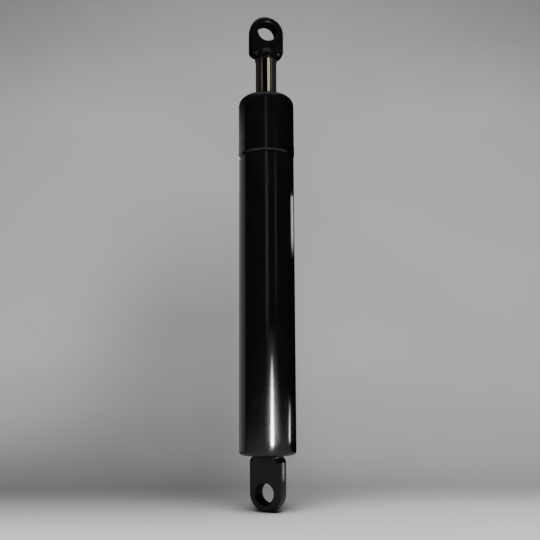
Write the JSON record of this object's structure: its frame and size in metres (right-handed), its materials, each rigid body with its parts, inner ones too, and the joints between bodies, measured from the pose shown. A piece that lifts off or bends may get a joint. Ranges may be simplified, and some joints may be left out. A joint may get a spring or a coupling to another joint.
{
  "type": "telescopic hydraulic cylinder",
  "caption": "Retracted telescopic hydraulic cylinder with a black barrel, a domed black stage cap, a chromed rod and a flat pin eye at each end.",
  "frame": {"origin": "centre of the base eye's pin hole", "axes": "+Z along the cylinder towards the rod eye, +Y along the base eye's pin, on the side of the supply port"},
  "size_m": [0.0582, 0.0646, 0.516],
  "materials": {
    "gloss_black_paint": "gloss",
    "painted_weld": "gloss over weld ripple",
    "hard_chrome": "polished",
    "ground_tube": "ground",
    "machined_steel": "turned",
    "spring_steel": "satin",
    "black_oxide_steel": "black oxide",
    "black_rubber": "satin",
    "seal_polyurethane": "satin",
    "guide_plastic": "matte"
  },
  "bodies": {
    "barrel": {"base_eye": "gloss_black_paint", "base_cap": "gloss_black_paint", "barrel_tube": "gloss_black_paint", "base_eye_weld": "painted_weld", "port_boss": "gloss_black_paint", "port_weld": "painted_weld", "barrel_gland": "machined_steel", "gland_o_ring": "black_rubber", "gland_guide_band": "guide_plastic", "gland_seal": "seal_polyurethane", "gland_wiper": "black_rubber", "gland_retaining_ring": "spring_steel"},
    "stage_1_carrier": {"stage_1_guide_band": "guide_plastic"},
    "stage_1": {"stage_1_tube": "ground_tube", "stage_1_foot": "machined_steel", "stage_1_stop_ring": "spring_steel", "stage_1_cap": "gloss_black_paint", "cap_o_ring": "black_rubber", "cap_guide_band": "guide_plastic", "cap_seal": "seal_polyurethane", "cap_wiper": "black_rubber", "cap_lock_screw": "black_oxide_steel"},
    "rod_carrier": {"piston_guide_band": "guide_plastic"},
    "rod": {"rod": "hard_chrome", "piston": "machined_steel", "piston_nut": "spring_steel", "piston_seal": "seal_polyurethane", "stop_tube": "machined_steel", "rod_eye": "gloss_black_paint", "rod_eye_weld": "painted_weld"}
  },
  "joints": [
    {"name": "stage_1_slide", "type": "slide", "parent": "barrel", "child": "stage_1_carrier", "axis": [0, 0, 1], "range_m": [0, 0.215]},
    {"name": "stage_1_swivel", "type": "hinge", "parent": "stage_1_carrier", "child": "stage_1", "pos_m": [0, 0, 0.2], "axis": [0, 0, 1], "continuous": true},
    {"name": "rod_slide", "type": "slide", "parent": "stage_1", "child": "rod_carrier", "axis": [0, 0, 1], "range_m": [0, 0.215]},
    {"name": "rod_swivel", "type": "hinge", "parent": "rod_carrier", "child": "rod", "pos_m": [0, 0, 0.4], "axis": [0, 0, 1], "continuous": true}
  ]
}
